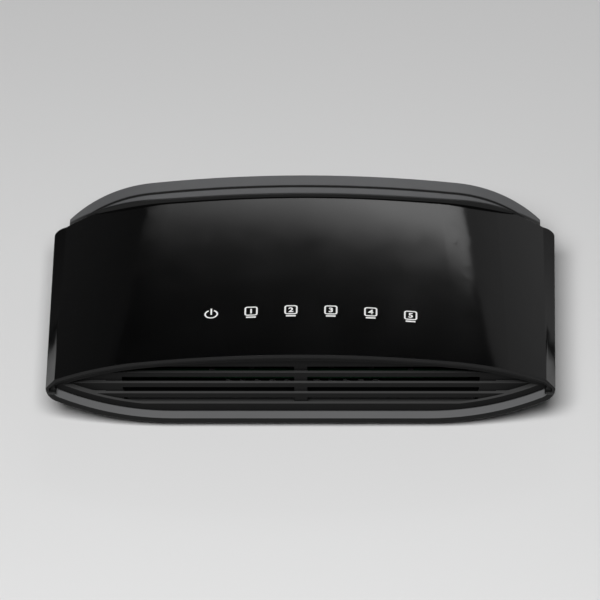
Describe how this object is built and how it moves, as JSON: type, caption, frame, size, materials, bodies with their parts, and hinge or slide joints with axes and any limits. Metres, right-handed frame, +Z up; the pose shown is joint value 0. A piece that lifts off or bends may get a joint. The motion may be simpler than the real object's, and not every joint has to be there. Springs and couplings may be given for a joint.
{
  "type": "network switch",
  "caption": "Desktop network switch in an arched glossy case with a stepped louvre front, network sockets and a power inlet at the back.",
  "frame": {"origin": "on the resting plane of the feet, under the middle of the case", "axes": "+X to the right seen from the front, +Y from the grille to the ports, +Z up"},
  "size_m": [0.144, 0.083, 0.0292],
  "materials": {
    "screw_steel": "black zinc",
    "matte_black": "fine spark texture",
    "can_silver": "drawn",
    "ceramic_tan": "matte",
    "lead_tin": "tinned",
    "board_green": "solder mask",
    "ferrite": "matte",
    "gloss_black": "high gloss",
    "grille_black": "satin",
    "sink_aluminium": "extruded",
    "socket_black": "moulded",
    "clear_guide": "clear moulding",
    "chip_black": "moulded epoxy",
    "contact_gold": "gold plated",
    "feet_rubber": "matte",
    "led_body": "clear epoxy",
    "pad_grey": "matte"
  },
  "bodies": {
    "root": {"board_screws": "screw_steel", "bottom_case": "matte_black", "capacitors": "can_silver", "case_screws": "screw_steel", "ceramic_capacitors": "ceramic_tan", "chip_leads": "lead_tin", "circuit_board": "board_green", "coil": "ferrite", "crystal": "can_silver", "face_plate": "gloss_black", "front_grille": "grille_black", "heat_sink": "sink_aluminium", "inlet_body": "socket_black", "inlet_pin": "lead_tin", "inlet_spring": "lead_tin", "light_guide": "clear_guide", "memory_chip": "chip_black", "port_contacts_1": "contact_gold", "port_contacts_2": "contact_gold", "port_contacts_3": "contact_gold", "port_contacts_4": "contact_gold", "port_contacts_5": "contact_gold", "port_jack_1": "socket_black", "port_jack_2": "socket_black", "port_jack_3": "socket_black", "port_jack_4": "socket_black", "port_jack_5": "socket_black", "rear_bezel": "matte_black", "regulator": "chip_black", "resistors": "ferrite", "rubber_feet": "feet_rubber", "status_leds": "led_body", "switch_chip": "chip_black", "thermal_pad": "pad_grey", "transformer_leads": "lead_tin", "transformers": "chip_black", "upper_housing": "matte_black"}
  },
  "joints": []
}
